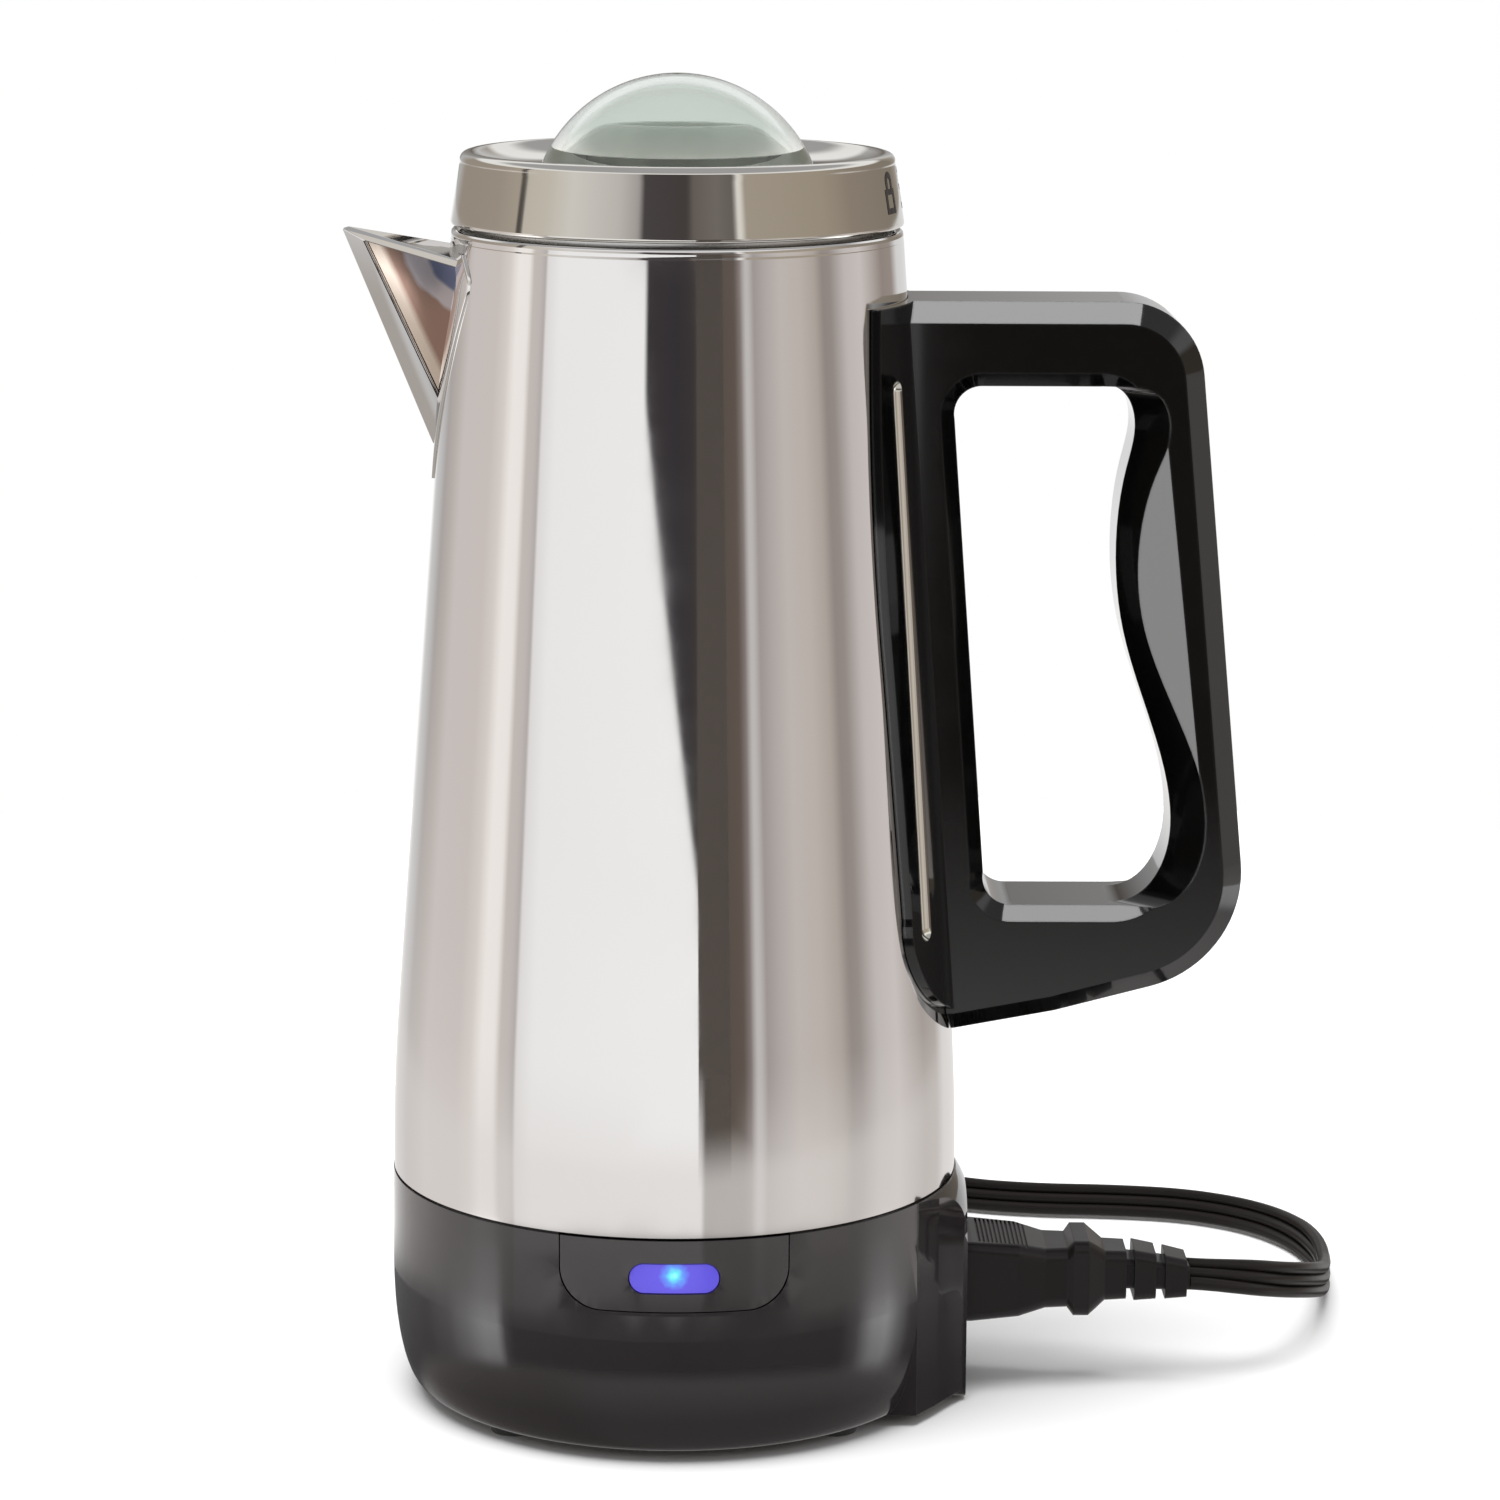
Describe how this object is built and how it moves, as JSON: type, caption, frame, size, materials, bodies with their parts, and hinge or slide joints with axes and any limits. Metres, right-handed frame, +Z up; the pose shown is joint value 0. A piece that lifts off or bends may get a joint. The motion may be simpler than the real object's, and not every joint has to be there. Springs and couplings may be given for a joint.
{
  "type": "electric coffee percolator",
  "caption": "Tall polished steel electric percolator with a V spout, glass knob, D handle, black base with an indicator light, and a detachable mains lead.",
  "frame": {"origin": "on the pot's axis at the surface it stands on", "axes": "+Z up along the pot's axis; -Y towards the indicator light; +X towards the handle and the mains inlet; the spout points along -X"},
  "size_m": [0.2661, 0.2922, 0.335],
  "materials": {
    "polished_steel": "mirror-polished stainless steel",
    "lid_steel": "polished stainless steel with a faint turned grain",
    "inner_steel": "satin stainless steel",
    "base_plastic": "satin charcoal moulding",
    "handle_plastic": "glossy black moulding",
    "lens_blue": "translucent blue, lit from behind",
    "lamp_glass": "clear glass",
    "nylon": "natural nylon",
    "foot_rubber": "matte rubber",
    "zinc_steel": "zinc plated",
    "cast_aluminium": "as cast",
    "element_sheath": "heat-darkened sheath",
    "thermostat_case": "brown phenolic",
    "mica": "mica sleeve",
    "fuse_sleeve": "white glass-fibre sleeve",
    "inlet_plastic": "black moulding",
    "brass": "nickelled brass",
    "wire_insulation": "silicone insulation",
    "silicone": "translucent silicone",
    "knob_glass": "clear pressed glass with a green tint",
    "lead_rubber": "satin black PVC",
    "cord_jacket": "satin black PVC",
    "strap": "black hook-and-loop tape"
  },
  "bodies": {
    "pot": {"body_shell": "polished_steel", "spout": "polished_steel", "vessel_floor": "inner_steel", "base_housing": "base_plastic", "indicator_panel": "base_plastic", "indicator_lens": "lens_blue", "indicator_lamp": "lamp_glass", "lamp_holder": "nylon", "base_cover": "base_plastic", "rubber_feet": "foot_rubber", "cover_screws": "zinc_steel", "heater_plate": "cast_aluminium", "heating_element": "element_sheath", "floor_studs": "zinc_steel", "heater_bridge": "zinc_steel", "stud_nuts": "zinc_steel", "thermostat": "thermostat_case", "keep_warm_heater": "mica", "thermal_fuse": "fuse_sleeve", "inlet_insert": "inlet_plastic", "inlet_pins": "brass", "inner_wiring": "wire_insulation", "handle": "handle_plastic", "handle_brackets": "zinc_steel", "handle_screws": "zinc_steel"},
    "stem": {"perk_stem": "inner_steel"},
    "valve": {"valve_disc": "inner_steel"},
    "basket": {"coffee_basket": "inner_steel"},
    "spreader": {"basket_spreader": "inner_steel"},
    "gasket": {"lid_gasket": "silicone"},
    "lid": {"lid_shell": "lid_steel", "lid_pan": "inner_steel", "knob_seal": "silicone"},
    "knob": {"glass_knob": "knob_glass", "knob_nut": "nylon"},
    "lead": {"connector": "lead_rubber", "connector_contacts": "brass", "strain_relief": "lead_rubber", "cord_lead": "cord_jacket", "cord_coil": "cord_jacket", "cord_tail": "cord_jacket", "cord_tie": "strap", "plug_body": "lead_rubber", "plug_pins": "brass"}
  },
  "joints": [
    {"name": "stem_lift", "type": "slide", "parent": "pot", "child": "stem", "axis": [0, 0, 1], "range_m": [0, 0.24]},
    {"name": "valve_hop", "type": "slide", "parent": "stem", "child": "valve", "axis": [0, 0, 1], "range_m": [0, 0.0025]},
    {"name": "basket_lift", "type": "slide", "parent": "stem", "child": "basket", "axis": [0, 0, 1], "range_m": [0, 0.08]},
    {"name": "spreader_lift", "type": "slide", "parent": "basket", "child": "spreader", "axis": [0, 0, 1], "range_m": [0, 0.03]},
    {"name": "lid_lift", "type": "slide", "parent": "spreader", "child": "gasket", "axis": [0, 0, 1], "range_m": [0, 0.06]},
    {"name": "lid_twist", "type": "hinge", "parent": "gasket", "child": "lid", "pos_m": [0, 0, 0.3], "axis": [0, 0, 1], "range_deg": [0, 20]},
    {"name": "knob_twist", "type": "hinge", "parent": "lid", "child": "knob", "pos_m": [0, 0, 0.305], "axis": [0, 0, 1], "range_deg": [0, 90]},
    {"name": "connector_pull", "type": "slide", "parent": "pot", "child": "lead", "axis": [1, 0, 0], "range_m": [0, 0.028]}
  ]
}
